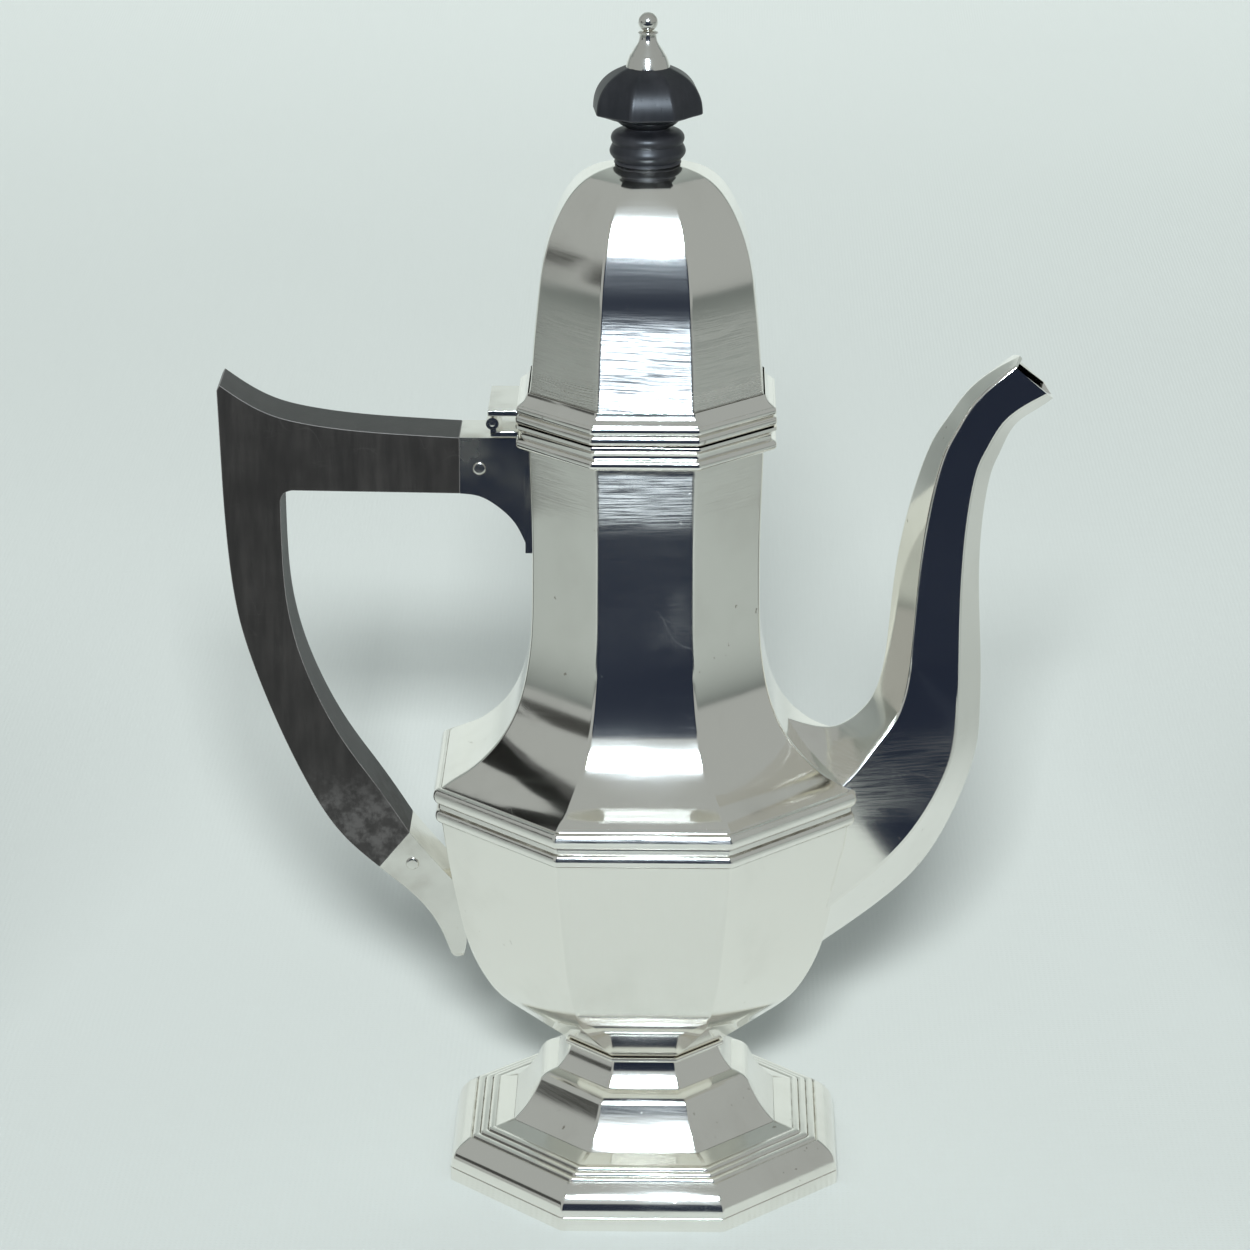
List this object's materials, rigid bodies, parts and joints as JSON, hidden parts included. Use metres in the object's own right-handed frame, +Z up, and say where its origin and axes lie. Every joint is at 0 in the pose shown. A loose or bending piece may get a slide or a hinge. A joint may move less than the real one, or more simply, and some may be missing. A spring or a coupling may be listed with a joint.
{
  "type": "coffee pot",
  "caption": "Octagonal silver coffee pot on a spread foot, with a hinged domed lid, a faceted swan-neck spout and a dark wood handle and knob.",
  "frame": {"origin": "centre of the foot's underside, on the table", "axes": "+Z up the pot's axis; +X towards the spout, so the handle and hinge are on -X; -Y faces the viewer"},
  "size_m": [0.1745, 0.0894, 0.254],
  "materials": {
    "silver": "polished, with fine wear scratches",
    "silver_fittings": "polished, slightly tarnished in corners",
    "steel": "plain machined",
    "handle_wood": "satin, worn dark ebony",
    "knob_wood": "polished ebony"
  },
  "bodies": {
    "pot": {"foot_rim": "silver", "foot": "silver", "stem": "silver", "waist_bead": "silver", "bowl": "silver", "girdle_moulding": "silver", "upper_body": "silver", "mouth_moulding": "silver", "spout_front_half": "silver", "spout_rear_half": "silver", "handle": "handle_wood", "upper_socket": "silver_fittings", "upper_socket_plate": "silver_fittings", "lower_socket": "silver_fittings", "upper_rivet": "silver_fittings", "lower_rivet": "silver_fittings", "body_hinge_leaf": "silver_fittings", "hinge_pin": "silver_fittings"},
    "lid": {"lid_hinge_leaf": "silver_fittings", "lid_dome": "silver", "lid_moulding": "silver", "lid_bezel": "silver", "knob": "knob_wood", "finial": "silver_fittings", "knob_bolt": "steel", "knob_washer": "silver_fittings", "knob_nut": "steel"}
  },
  "joints": [
    {"name": "lid_hinge", "type": "hinge", "parent": "pot", "child": "lid", "pos_m": [-0.032, 0, 0.1692], "axis": [0, -1, 0], "range_deg": [0, 95]}
  ]
}
